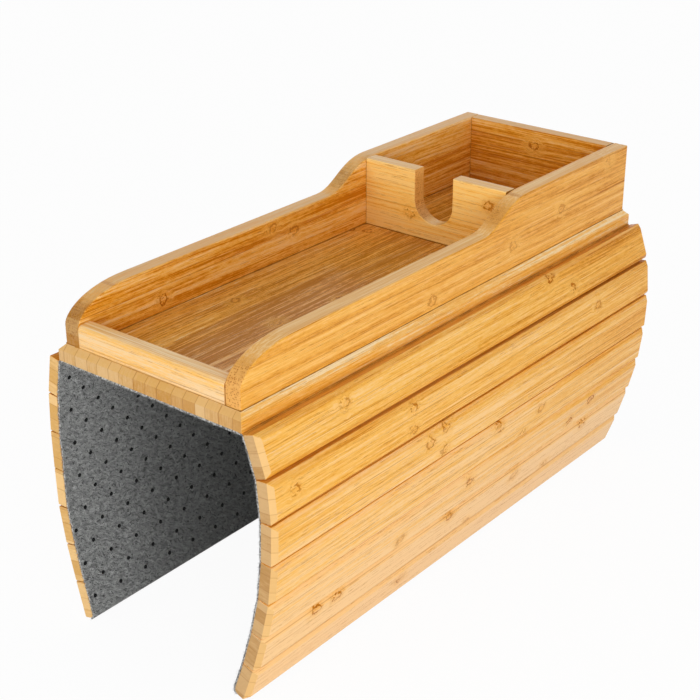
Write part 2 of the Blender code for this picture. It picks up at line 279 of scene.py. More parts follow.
@dataclass(frozen=True)
class BambooFinish:
    """Laminated bamboo strips under satin lacquer. Lengths are in millimetres."""

    cream: Colour = (0.94, 0.60, 0.26)
    pale: Colour = (0.92, 0.505, 0.105)
    honey: Colour = (0.82, 0.365, 0.032)
    amber: Colour = (0.57, 0.205, 0.014)
    stain: Colour = (0.54, 0.31, 0.04)
    end_pale: Colour = (0.70, 0.445, 0.19)
    end_dark: Colour = (0.54, 0.27, 0.06)
    end_bevel: Colour = (0.74, 0.44, 0.14)
    rim: Colour = (0.87, 0.56, 0.24)
    middle_tone: float = 0.60
    lightness: float = 0.0
    paler_past: float = 1000.0
    paler_by: float = 0.0
    paler_right: float = 0.0
    contrast: float = 1.0
    fleck_share: float = 1.6
    rim_share: float = 0.0
    edge_dark: float = 0.0
    rear_dark: float = 0.0
    rear_dark_from: float = 190.0
    end_from: float = 0.40
    end_full: float = 0.66
    bevel_under: float = 0.93
    end_dots: float = 0.10
    end_joint: float = 0.8
    strip_width: float = 9.4
    joint_width: Span = (0.20, 0.72)
    knot_width: float = 10.5
    knot_length: float = 13.5
    seed_shift: Triple = (3.7, 61.0, 0.0)
    strip_shift: Span = (900.0, 60.0)
    roughness: float = 0.30
    gloss: float = 0.38
    coat: float = 0.08

    def material(self, name: str, grain: GrainFrame, seed: float, knots: Sequence[Knot]) -> Material:
        """Make the material of one board.

        Args:
            name: The material's name.
            grain: The board's own axes.
            seed: Picks the strips that the board was glued up from.
            knots: Where the cane's nodes show: along and across the board from its origin, in millimetres.

        Returns:
            The material.
        """
        net = NodeNet(bpy.data.materials.new(name))
        shift = Vector([seed * step for step in self.seed_shift])
        place = self._place(net, grain, shift)
        across, along, through = net.node("SeparateXYZ", {0: place}).outputs
        knot, knot_rings, halo, swirl = self._knots(net, place, [grain.flat(one) + shift for one in knots])

        wander = net.noise(net.node("CombineXYZ", {0: across, 2: seed}).outputs[0], Grain.WANDER)
        strips = net.plus(net.math("DIVIDE", across, self.strip_width), wander)
        number = net.plus(net.math("FLOOR", strips), seed * 7.31)
        chance = net.node("TexWhiteNoise", {"W": number}, noise_dimensions="1D").outputs["Color"]
        lot, *other_lots = net.node("SeparateColor", {0: chance}).outputs
        ends = [net.times_plus(*step) for step in zip(other_lots, self.strip_shift, (along, through))]
        moved = net.node("CombineXYZ", dict(enumerate([net.plus(across, swirl), *ends]))).outputs[0]

        cut = self._facing(net, grain.along)
        fleck, fine = net.noise(moved, Grain.FLECKS), net.noise(moved, Grain.FINE_LINES)
        tone = self._tone(net, grain, moved, lot, (fleck, fine, cut))
        if self.rear_dark:
            behind = net.minus(along, shift.y)
            tone = net.plus(tone, net.remap(behind, 0.0, self.rear_dark_from, 0.0, -self.rear_dark))
        # Painted light on the panel outside the walls, and a painted reflection towards the right.
        if self.paler_by:
            tone = self._paler(net, tone, across, shift.x)
        colour = self.amber
        for lighter, low, high in ((self.honey, -0.1, 0.55), (self.pale, 0.40, 1.10), (self.cream, 0.95, 1.60)):
            colour = net.mix(net.remap(tone, low, high), colour, lighter)

        vessels = net.noise(moved, Grain.VESSELS)
        hair = net.remap(net.away(vessels, 0.47), 0.018, 0.008)
        bright = net.remap(net.away(vessels, 0.56), 0.020, 0.004)
        hair_share = net.times(hair, net.remap(fleck, 0.42, 0.54, 0.10, 0.62))
        colour = net.mix(hair_share, colour, self.stain, "MULTIPLY")
        colour = net.mix(net.times(bright, 0.40), colour, self.cream)

        colour = net.mix(halo, colour, self.pale)
        colour = net.mix(knot, colour, self.honey)
        colour = net.mix(knot_rings, colour, self.stain, "MULTIPLY")

        end = net.remap(cut, self.end_from, self.end_full)
        joint = self._joint(net, place, strips, end)
        # Faces that look up are painted paler: partly the sanded top of a wall, partly a painted highlight.
        up = net.node("SeparateXYZ", {0: net.here("Normal")}).outputs[2]
        rim = net.times(net.remap(up, 0.80, 0.99), self.rim_share)
        colour = net.mix(rim, colour, net.mix(net.remap(fine, 0.38, 0.58, 0.0, 0.75), self.rim, self.honey))
        bevel = net.remap(cut, self.bevel_under, self.bevel_under - 0.13, 0.0, 0.7)
        colour = net.mix(end, colour, net.mix(bevel, self._sawn(net, place, lot), self.end_bevel))
        colour = net.mix(joint, colour, self.stain, "MULTIPLY")

        rough = net.times_plus(fine, 0.12, self.roughness - 0.06)
        dark = net.larger(knot_rings, net.remap(tone, 0.40, 0.0))
        marks = net.larger(hair_share, dark, clamp=True)
        return net.finish(
            Base_Color=colour,
            Roughness=net.times_plus(end, 0.22, rough),
            Normal=net.bump(net.noise(place, Grain.SURFACE), 0.3, 0.05 * MM),
            Specular_IOR_Level=net.times_plus(marks, -0.85 * self.gloss, self.gloss),
            Coat_Weight=self.coat,
            Coat_Roughness=0.22,
        )

    def _tone(self, net: NodeNet, grain: GrainFrame, moved: Socket, lot: Socket, details: Sockets) -> Socket:
        """Work out how light the wood is.

        Args:
            net: The material's nodes.
            grain: The board's own axes.
            moved: The point's place in its own strip of cane.
            lot: The strip's chance.
            details: The short flecks, the fine lines and how squarely the surface cuts the fibres.

        Returns:
            The tone, from below 0 for amber to 1.5 for cream.
        """
        fleck, fine, cut = details
        tone = net.times_plus(lot, 0.45, -1.15)
        layers = (
            (net.noise(moved, Grain.BANDS), 0.32, 0.68, 0.45),
            (net.noise(moved, Grain.STREAKS), 0.30, 0.70, 0.65),
            (fine, 0.28, 0.72, 0.75),
        )
        for layer, low, high, share in layers:
            tone = net.times_plus(net.remap(layer, low, high), share, tone)
        grainy = net.remap(cut, 0.2, 0.6, self.fleck_share, 0.2)
        tone = net.times_plus(net.minus(fleck, 0.5), grainy, tone)
        tone = net.times_plus(tone, self.contrast, self.middle_tone + self.lightness)
        # Painted shade: faces that look across the strips, the side faces in the folds, are painted darker.
        if self.edge_dark:
            side_shade = net.remap(self._facing(net, grain.across), 0.80, 0.97, 0.0, -self.edge_dark)
            tone = net.plus(tone, side_shade)
        return tone

    def _paler(self, net: NodeNet, tone: Socket, across: Socket, middle: float) -> Socket:
        """Return the tone, evened out and painted lighter past some distance from the middle, out from under the walls'
        shade, and painted lighter to the right as a painted reflection.

        Args:
            net: The material's nodes.
            tone: The tone so far.
            across: Place across the board.
            middle: That place at the board's middle.
        """
        is_out = net.math("GREATER_THAN", net.away(across, middle), self.paler_past)
        swing = net.minus(tone, self.middle_tone + self.lightness)
        even = net.times_plus(swing, 0.6, self.middle_tone + self.paler_by)
        # Painted reflection: lighter towards the right.
        right = net.remap(net.minus(across, middle), 0.0, self.paler_past, 0.0, self.paler_right)
        tone = net.plus(tone, right)
        return net.plus(net.times(is_out, net.minus(even, tone)), tone)

    def _joint(self, net: NodeNet, place: Socket, strips: Socket, end: Socket) -> Socket:
        """Return how dark the glue joint between two strips is, which shows most on a sawn end.

        Args:
            net: The material's nodes.
            place: The point's place on the board.
            strips: Place across the board, counted in strips.
            end: The share of the sawn end.
        """
        edge = net.away(net.math("FRACT", strips), 0.5)
        inner, outer = (0.5 - width / 2 / self.strip_width for width in reversed(self.joint_width))
        seen = net.remap(net.noise(place, Grain.JOINT_SHARE), 0.35, 0.6, 0.15, 0.5)
        seen = net.times(seen, net.minus(1.0, end))
        share = net.larger(seen, net.times(end, self.end_joint))
        return net.times(net.remap(edge, inner, outer), share)

    def _sawn(self, net: NodeNet, place: Socket, lot: Socket) -> Socket:
        """Return the colour of a sawn end: one tone for each strip, fine lines and the dots of the cut fibres."""
        lines = net.noise(place, Grain.SAWN_LINES)
        tone = net.times_plus(net.minus(lines, 0.5), 1.2, lot)
        sawn = net.mix(net.remap(tone, 0.0, 1.0), self.end_dark, self.end_pale)
        bundles = net.node("TexVoronoi", {"Vector": place, "Scale": 0.80, "Randomness": 0.55}).outputs["Distance"]
        thick = net.remap(net.noise(place, Grain.THICK_BUNDLES), 0.35, 0.60, self.end_dots * 0.35, self.end_dots)
        return net.mix(net.times(net.remap(bundles, 0.52, 0.25), thick), sawn, self.stain, "MULTIPLY")

    @staticmethod
    def _place(net: NodeNet, grain: GrainFrame, shift: Vector) -> Socket:
        """Return the point's place in the board's own axes, in millimetres, moved to another part of the pattern."""
        turn = grain.turn()
        start = turn @ Vector(grain.origin) / -MM + shift
        inputs = {"Location": start, "Rotation": turn.to_euler(), "Scale": (1 / MM,) * 3}
        return net.node("Mapping", {"Vector": net.here("Object"), **inputs}).outputs[0]

    @staticmethod
    def _facing(net: NodeNet, way: Sequence[float]) -> Socket:
        """Return how squarely the surface faces one way or its opposite, from 0 to 1."""
        return net.math("ABSOLUTE", net.vector("DOT_PRODUCT", net.here("Normal"), tuple(way), output="Value"))

    def _knots(self, net: NodeNet, place: Socket, centres: Sequence[Vector]) -> Sockets:
        """Draw the scars of the cane's nodes.

        Args:
            net: The material's nodes.
            place: The point's place on the board.
            centres: The scars' places.

        Returns:
            The shares of the darker body between the rings, of the brown rings and specks, and of the pale rim, and
            how far the fibres are pushed aside.
        """
        if not centres:
            return 0.0, 0.0, 0.0, 0.0
        size = (2 / self.knot_width, 2 / self.knot_length, 0.0)
        wild = net.node("TexNoise", {"Vector": place, "Scale": 0.17, "Detail": 3.0, "Roughness": 0.6}).outputs["Color"]
        crook = 1.3
        crooked = net.vector("MULTIPLY_ADD", wild, (crook, crook, 0.0), net.vector("MULTIPLY", place, size))
        nearest = None
        for centre in centres:
            home = (centre.x * size[0] + crook / 2, centre.y * size[1] + crook / 2, 0.0)
            gap = net.vector("DISTANCE", crooked, home, output="Value")
            nearest = gap if nearest is None else net.math("MINIMUM", nearest, gap)
        body = net.remap(nearest, 1.10, 0.45)
        lines = net.noise(place, Grain.KNOT_LINES)
        arcs = net.math("SINE", net.times_plus(nearest, 12.0, net.times(lines, 4.0)))
        open_side = net.remap(net.noise(place, Grain.KNOT_SIDES), 0.42, 0.52)
        specks = net.remap(net.noise(place, Grain.KNOT_SPECKS), 0.50, 0.58)
        drawn = net.times(net.remap(arcs, 0.0, 0.7), open_side)
        drawn = net.larger(drawn, net.times(specks, net.remap(arcs, -0.9, 0.0, 0.3, 1.0)))
        strength = net.remap(net.noise(place, Grain.KNOT_STRENGTH), 0.38, 0.62, 0.55, 1.0)
        rings = net.times(net.times(body, strength), drawn)
        between = net.times(body, net.remap(arcs, 0.1, -0.8, 0.0, 0.45))
        halo = net.times(net.remap(nearest, 1.9, 0.8), 0.35)
        swirl = net.times(net.minus(lines, 0.5), net.times(halo, 22.0))
        return between, rings, halo, swirl


def scattered_knots(seed: int, across: Span, count: int) -> list[Knot]:
    """Return a number of knots at random places between two edges of a board, the same for a seed."""
    rng = random.Random(seed)
    return [(rng.uniform(*KNOTS_ALONG), rng.uniform(*across)) for _ in range(count)]


@dataclass(frozen=True)
class FeltFinish:
    """Grey needle felt: pale and dark fibres that lie mostly one way. Lengths are in millimetres."""

    dark: Colour = (0.028, 0.029, 0.029)
    middle: Colour = (0.20, 0.207, 0.198)
    light: Colour = (0.85, 0.86, 0.85)
    # The felt is painted lighter near its cut front and rear edges and darker inward, under the tray: painted light and
    # painted shade.
    brushed_within: float = 80.0
    brushed: float = 1.08
    flat_nap: float = 0.74
    lay: float = math.radians(28)
    crossing_turn: float = 0.9

    def material(self, name: str) -> Material:
        """Make the felt's material, laid out on the unrolled sheet's own map."""
        net = NodeNet(bpy.data.materials.new(name))
        sheet = net.node("UVMap", uv_map=FeltBacking.map_name).outputs[0]
        bent = net.node("TexNoise", {"Vector": sheet, "Scale": 0.12, "Detail": 2.0}).outputs["Color"]
        drawn = net.vector("MULTIPLY_ADD", bent, (6.0, 6.0, 0.0), sheet)
        combed, crossed = (
            net.node("VectorRotate", {"Vector": drawn, "Angle": angle}, rotation_type="Z_AXIS").outputs[0]
            for angle in (self.lay, self.lay + self.crossing_turn)
        )
        clumps = net.remap(net.noise(combed, Fluff.CLUMPS), 0.34, 0.66)
        tangle = net.noise(combed, Fluff.TANGLE)
        strands = net.remap(net.away(tangle, 0.5), 0.06, 0.0)
        cross_strands = net.remap(net.away(net.noise(crossed, Fluff.CROSSING), 0.47), 0.05, 0.0)
        body = net.times_plus(clumps, 0.7, net.remap(tangle, 0.38, 0.62, -0.60, 0.85))
        colour = net.mix(net.larger(body, 0.0), self.dark, self.middle)
        pale = net.larger(strands, net.times(cross_strands, 0.75))
        pale = net.times(pale, net.times_plus(clumps, 0.85, 0.15))
        colour = net.mix(pale, colour, self.light)
        # Painted shade: the colour is scaled darker with the distance inward from the cut front and rear edges.
        from_middle = net.math("ABSOLUTE", net.node("SeparateXYZ", {0: net.here("Object")}).outputs[1])
        half_length = abs(CAD_BOUNDS[0][1]) / MM
        inward = net.minus(half_length, net.times(from_middle, 1 / MM))
        painted_tunnel_shade = net.remap(inward, 0.0, self.brushed_within, self.brushed, self.flat_nap)
        height = net.plus(net.times(clumps, 0.5), net.plus(strands, cross_strands))
        return net.finish(
            Base_Color=net.node("VectorMath", {0: colour, "Scale": painted_tunnel_shade}, operation="SCALE").outputs[0],
            Roughness=net.times_plus(tangle, 0.15, 0.82),
            Normal=net.bump(height, 0.8, 0.25 * MM),
            Sheen_Weight=0.25,
            Sheen_Roughness=0.6,
            Specular_IOR_Level=0.15,
        )


@dataclass(frozen=True)
class PatchyFinish:
    """A plain finish, lighter and rougher in patches. The patches are laid in metres."""

    dark: Colour
    light: Colour
    patches: Pattern
    light_within: Span
    rough: float
    rougher_by: float
    sheen: float = 0.0
    gloss: float = 0.5
    relief: float = 0.0

    def material(self, name: str) -> Material:
        """Make the finish's material."""
        net = NodeNet(bpy.data.materials.new(name))
        patches = net.noise(net.here("Object"), self.patches)
        if self.relief:
            net.finish(Normal=net.bump(patches, 0.3, self.relief))
        return net.finish(
            Base_Color=net.mix(net.remap(patches, *self.light_within), self.dark, self.light),
            Roughness=net.times_plus(patches, self.rougher_by, self.rough),
            Sheen_Weight=self.sheen,
            Specular_IOR_Level=self.gloss,
        )


@dataclass(frozen=True)
class FibreFinish(PatchyFinish):
    """Loose pale felt fibres at the cut edges, each a little lighter or darker."""

    dark: Colour = (0.10, 0.10, 0.10)
    light: Colour = (0.62, 0.62, 0.60)
    patches: Pattern = Pattern((900.0,) * 3, 1.0)
    light_within: Span = (0.40, 0.62)
    rough: float = 0.7
    rougher_by: float = 0.2
    sheen: float = 0.3


@dataclass(frozen=True)
class RubberFinish(PatchyFinish):
    """Black anti-slip rubber dots, printed on the felt."""

    dark: Colour = (0.006, 0.006, 0.006)
    light: Colour = (0.020, 0.020, 0.021)
    patches: Pattern = Pattern((700.0,) * 3, 3.0, 0.6)
    light_within: Span = (0.4, 0.7)
    rough: float = 0.60
    rougher_by: float = 0.3
    gloss: float = 0.12
    relief: float = 0.05 * MM


@dataclass(frozen=True)
class GlueFinish(PatchyFinish):
    """Glue that soaked into dust, seen as a thin brown line where two boards meet. The same finish paints brown shade
    on the felt in the folds.
    """

    dark: Colour = (0.27, 0.105, 0.012)
    light: Colour = (0.44, 0.20, 0.030)
    patches: Pattern = Pattern((90.0,) * 3, 3.0)
    light_within: Span = (0.35, 0.65)
    rough: float = 0.45
    rougher_by: float = 0.3
    gloss: float = 0.1


def mesh_object(name: str, bm: BMesh, *materials: Material, smooth: bool = False) -> Object:
    """Write a bmesh to a new object in the scene.

    Args:
        name: The object's name.
        bm: The mesh, which is freed.
        *materials: Its materials, in the order of its faces' indices.
        smooth: Whether its faces are shaded smooth.

    Returns:
        The new object.
    """
    bmesh.ops.recalc_face_normals(bm, faces=bm.faces)
    mesh = bpy.data.meshes.new(name)
    bm.to_mesh(mesh)
    bm.free()
    for material in materials:
        mesh.materials.append(material)
    if smooth:
        mesh.shade_smooth()
    return linked(name, mesh)


def linked(name: str, data: ID) -> Object:
    """Return a new object in the scene."""
    made = bpy.data.objects.new(name, data)
    bpy.context.scene.collection.objects.link(made)
    return made


def bridge(bm: BMesh, first: Sequence[BMVert], second: Sequence[BMVert], material_index: int = 0) -> None:
    """Join two lines of points by a strip of faces."""
    for corners in zip(first, first[1:], second[1:], second):
        bm.faces.new(corners).material_index = material_index


def dress(node: str, material: Material) -> None:
    """Give a CAD board its material, and ease its edges as sanding by hand does."""
    obj = frame["nodes"][node]
    if not obj.material_slots:
        obj.data.materials.append(material)
    for slot in obj.material_slots:
        slot.material = material
    obj.modifiers.new("weld", "WELD").merge_threshold = WELD
    ease = obj.modifiers.new("eased_edges", "BEVEL")
    ease.width = EASED_EDGE
    ease.segments = EASE_STEPS
    ease.limit_method = "ANGLE"
    ease.angle_limit = SHARP
    ease.use_clamp_overlap = True
    obj.modifiers.new("even_shading", "WEIGHTED_NORMAL").keep_sharp = True
    LOG.info("%s is dressed in %s", node, material.name)


BOX_KNOTS = {
    "centre_panel": scattered_knots(3, (-66.0, 66.0), 16),
    "side_wall_left": ((-32.0, 36.0), (-12.0, 28.0), (110.0, 40.0), (-130.0, 20.0)),
    "side_wall_right": ((113.0, 36.0), (-29.5, 17.5), (172.0, 54.0), (57.0, 27.0)),
    "divider": ((-19.0, 28.0), (44.0, 46.0)),
    "rear_wall": ((-2.0, 47.0), (38.0, 24.0)),
}


@dataclass
class Box:
    """The centre panel and the box on it."""

    panel_wood: BambooFinish = BambooFinish(
        cream=(0.94, 0.72, 0.40), amber=(0.54, 0.205, 0.018), lightness=-0.50, contrast=1.5,
        paler_past=60.0, paler_by=0.75, paler_right=1.45, edge_dark=0.55, end_joint=0.6,
    )
    wall_wood: BambooFinish = BambooFinish(
        end_pale=(0.78, 0.40, 0.10), end_dark=(0.60, 0.26, 0.04), strip_width=11.7, rim_share=0.85,
        end_from=0.25, bevel_under=0.0, end_dots=0.8, end_joint=0.0,
    )
    dowel_wood: BambooFinish = BambooFinish(
        pale=(0.72, 0.53, 0.34), honey=(0.62, 0.43, 0.25), amber=(0.50, 0.32, 0.17), coat=0.0, roughness=0.6
    )
    glue: GlueFinish = GlueFinish()
    pale_glue: GlueFinish = GlueFinish(dark=(0.46, 0.22, 0.06), light=(0.62, 0.34, 0.11))
    glue_inset: float = 0.12 * MM
    glue_reach: float = 0.05 * MM
    bead_height: float = 0.36 * MM
    bead_swell: float = 0.02 * MM
    front_round: float = 3.2 * MM

    def build(self) -> None:
        """Dress the panel, the walls and the dowels, and lay the glue lines."""
        wall = self.wall_wood
        outer_wood = replace(
            wall, lightness=-0.05, contrast=0.62, fleck_share=2.0, rear_dark=0.10, gloss=0.25, coat=0.03,
            rim=(1.0, 0.67, 0.30),
        )
        pale_wood = replace(wall, lightness=0.62, contrast=0.6, rim=(1.0, 0.74, 0.40), cream=(0.88, 0.61, 0.32))
        light_wood = replace(wall, lightness=0.72, pale=(1.0, 0.58, 0.12), cream=(1.0, 0.66, 0.22))
        dark_wood = replace(
            wall, lightness=0.15, contrast=1.5, honey=(0.80, 0.335, 0.020), amber=(0.60, 0.195, 0.006),
            end_pale=(0.50, 0.27, 0.075), end_dark=(0.43, 0.19, 0.03), rim=(0.80, 0.50, 0.19),
        )
        boards = {
            "centre_panel": (Run.BOARD, self.panel_wood),
            "side_wall_left": (Run.LONG_WALL, dark_wood),
            "side_wall_right": (Run.LONG_WALL, outer_wood),
            "front_wall": (Run.CROSS_WALL, pale_wood),
            "divider": (Run.CROSS_WALL, light_wood),
            # The rear wall is painted darker still: painted shade of the deep cup bay.
            "rear_wall": (Run.CROSS_WALL, replace(dark_wood, lightness=-0.12)),
        }
        for seed, (node, (run, finish)) in enumerate(boards.items(), start=1):
            grain = GrainFrame(*run.value)
            dress(node, finish.material(f"bamboo_{node}", grain, seed * 1.7, BOX_KNOTS.get(node, ())))
        beech = self.dowel_wood.material("beech_dowel", GrainFrame(*Run.CROSS_WALL.value), 5.3, ())
        for node in sorted(name for name in frame["nodes"] if name.startswith("dowel_")):
            dress(node, beech)
        self._lay_glue()

    def _lay_glue(self) -> None:
        """Fill each joint between two boards with a thin layer of glue."""
        dark, pale = self.glue.material("wood_glue"), self.pale_glue.material("pale_wood_glue")
        panel_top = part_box("centre_panel")[1].z
        swell = Vector((self.bead_swell, self.bead_swell, 0.0))
        for node in ("side_wall_left", "side_wall_right", "front_wall", "divider", "rear_wall"):
            low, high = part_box(node)
            layer = bmesh.new()
            bottom, top = low - swell, high + swell
            bottom.z, top.z = panel_top - self.glue_reach, low.z + self.bead_height
            self._slab(layer, bottom, top)
            if not node.startswith("side"):
                self._butt_joints(layer, low, high, node == "front_wall")
            piece = mesh_object(f"glue_{node}", layer, pale if node == "front_wall" else dark)
            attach(piece, ROOT)
            LOG.info("%s rides on %s", piece.name, ROOT)

    def _butt_joints(self, bm: BMesh, low: Vector, high: Vector, is_rounded: bool) -> None:
        """Add the glue at both ends of a cross wall.

        Args:
            bm: Where it goes.
            low: The wall's lowest corner.
            high: Its highest corner.
            is_rounded: Whether the wall's front top edge is rounded, so that the glue is stepped there.
        """
        near, far = low.y + self.glue_inset, high.y - self.glue_inset
        base, top = low.z + self.glue_reach, high.z - self.glue_inset * 2
        blocks = [(near, far, base, top)]
        if is_rounded:
            blocks = [(near, far, base, top - self.front_round), (near + self.front_round, far, base, top)]
        left_face, right_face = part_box("side_wall_left")[1].x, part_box("side_wall_right")[0].x
        for sign, end, face in ((-1, low.x, left_face), (1, high.x, right_face)):
            start_x, end_x = sorted((end - sign * self.glue_reach, face + sign * self.glue_reach))
            for start_y, end_y, start_z, end_z in blocks:
                self._slab(bm, (start_x, start_y, start_z), (end_x, end_y, end_z))

    @staticmethod
    def _slab(bm: BMesh, low: Sequence[float], high: Sequence[float]) -> None:
        """Add a box between two corners."""
        low, high = Vector(low), Vector(high)
        matrix = Matrix.Translation((high + low) / 2) @ Matrix.Diagonal(high - low).to_4x4()
        bmesh.ops.create_cube(bm, size=1.0, matrix=matrix)


@dataclass(frozen=True)
class Fold:
    """One hinge line, and the slopes of what it joins. A slope is the angle below level, away from the box."""

    side: Side
    parent: str
    child: str
    reach: float = 0.0
    height: float = 0.0
    before: float = 0.0
    after: float = 0.0
    unrolled: float = 0.0
    depth: float = 0.0
    bend: float = 1.0 * MM

    @property
    def is_level(self) -> bool:
        """Return whether this stands for the flat middle, which folds nowhere."""
        return self.parent == self.child

    def place(self, y: float, u: float, z: float) -> Vector:
        """Return a point of the folded sheet.

        Args:
            y: Distance along the hinge.
            u: Distance from the hinge on the unrolled sheet, away from the box.
            z: Height above the sheet's outer face, towards the wood. The hinge line lies at a height of depth.
        """
        share = min(max((u + self.bend) / (2 * self.bend), 0.0), 1.0)
        slope = self.before + (self.after - self.before) * share * share * (3 - 2 * share)
        rise = z - self.depth
        out = self.reach + u * math.cos(slope) + rise * math.sin(slope)
        up = self.height - u * math.sin(slope) + rise * math.cos(slope)
        return Vector((self.side.value * out, y, up))


@dataclass
class Wing:
    """One chain of slats. Knots are along and across a slat from its hinge, in millimetres."""

    side: Side
    tones: Sequence[float]
    knots: Sequence[Sequence[Knot]]
    wood: BambooFinish = BambooFinish(
        contrast=0.85, edge_dark=0.35, rear_dark=0.35, gloss=0.17, coat=0.01, end_pale=(0.62, 0.39, 0.175),
        end_dark=(0.47, 0.25, 0.08), end_bevel=(0.86, 0.53, 0.20), end_joint=0.40,
    )
    folds: list[Fold] = field(default_factory=list)
    pitch: float = 0.0

    def read_folds(self) -> None:
        """Work the hinge lines out from the record's joints, whose lower limit is the flat wing."""
        slope = 0.0
        joints = [joint for joint in frame["joints"] if joint["name"].startswith(self.side.word)]
        depth = joints[0]["pos_m"][2]
        for joint in joints:
            reach, height = abs(joint["pos_m"][0]), joint["pos_m"][2]
            unrolled = reach
            if self.folds:
                last = self.folds[-1]
                self.pitch = math.hypot(reach - last.reach, height - last.height)
                unrolled = last.unrolled + self.pitch
            after = slope - math.radians(joint["range_deg"][0])
            place = (reach, height, slope, after, unrolled, depth)
            self.folds.append(Fold(self.side, joint["parent"], joint["child"], *place))
            slope = after

    def build(self) -> None:
        """Dress the slats, each cut from another place of the board."""
        sign = self.side.value
        first_seed = 11.0 if self.side is Side.RIGHT else 42.0
        for number, (fold, tone, knots) in enumerate(zip(self.folds, self.tones, self.knots), start=1):
            down, out = math.sin(fold.after), math.cos(fold.after)
            across, through = (sign * out, 0.0, -down), (sign * down, 0.0, out)
            grain = GrainFrame(across, (0.0, 1.0, 0.0), through, (sign * fold.reach, 0.0, fold.height))
            node = f"slat_{self.side.word}_{number}"
            finish = replace(self.wood, lightness=tone)
            dress(node, finish.material(f"bamboo_{node}", grain, first_seed + 2.9 * number, knots))


@dataclass(frozen=True)
class Stretch:
    """One part of the felt sheet: its fold, and where it starts, ends and leaves the flat on the unrolled sheet."""

    fold: Fold
    start: float
    end: float
    flat_end: float = math.inf
    tip_radius: float = 4.8 * MM
    exposed: float = 0.12 * MM
    glued: float = 1.27 * MM
    glued_at_fold: float = 1.05 * MM
    station_step: float = 3.0 * MM
    fold_stations: tuple[float, ...] = (0.0, 0.4, 0.7, 1.0, 1.5, 2.0, 3.0)

    @property
    def has_tip(self) -> bool:
        """Return whether it wraps round the last slat's rounded edge."""
        return self.end > self.flat_end

    def at(self, y: float, u: float, z: float) -> Vector:
        """Return a point of the sheet.

        Args:
            y: Distance along the hinge.
            u: Distance from the hinge on the unrolled sheet.
            z: Height above the sheet's outer face.
        """
        if u > self.flat_end:
            angle = (u - self.flat_end) / self.tip_radius
            radius = self.tip_radius - z
            u = self.flat_end + radius * math.sin(angle)
            z = self.tip_radius - radius * math.cos(angle)
        return self.fold.place(y, u, z)

    def glued_height(self, u: float) -> float:
        """Return the height of the glued face, lower where the felt is pressed into a fold."""
        if self.fold.is_level:
            return self.glued
        share = min(max((abs(u) / self.fold.bend - 1.5) / 1.5, 0.0), 1.0)
        return self.glued_at_fold + (self.glued - self.glued_at_fold) * share

    def stations(self) -> list[float]:
        """Return where the sheet has a line of points, close together at the fold."""
        count = max(int((self.end - self.start) / self.station_step), 1)
        even = [self.start + (self.end - self.start) * step / count for step in range(count + 1)]
        if self.fold.is_level:
            return even
        near = {sign * self.fold.bend * share for sign in (-1, 1) for share in self.fold_stations}
        kept = {u for u in even if u in (self.start, self.end) or abs(u) > 4.0 * self.fold.bend}
        return sorted(kept | near)


FELT_FINISHES = {
    "needle_felt": FeltFinish(),
    # Painted shade: the felt's glued face at each fold is coloured brown, like wood in the shade of the fold.
    "glue_soaked_felt": GlueFinish(dark=(0.50, 0.20, 0.025), light=(0.72, 0.33, 0.05)),
    "felt_fibres": FibreFinish(),
    "rubber_dots": RubberFinish(),
}


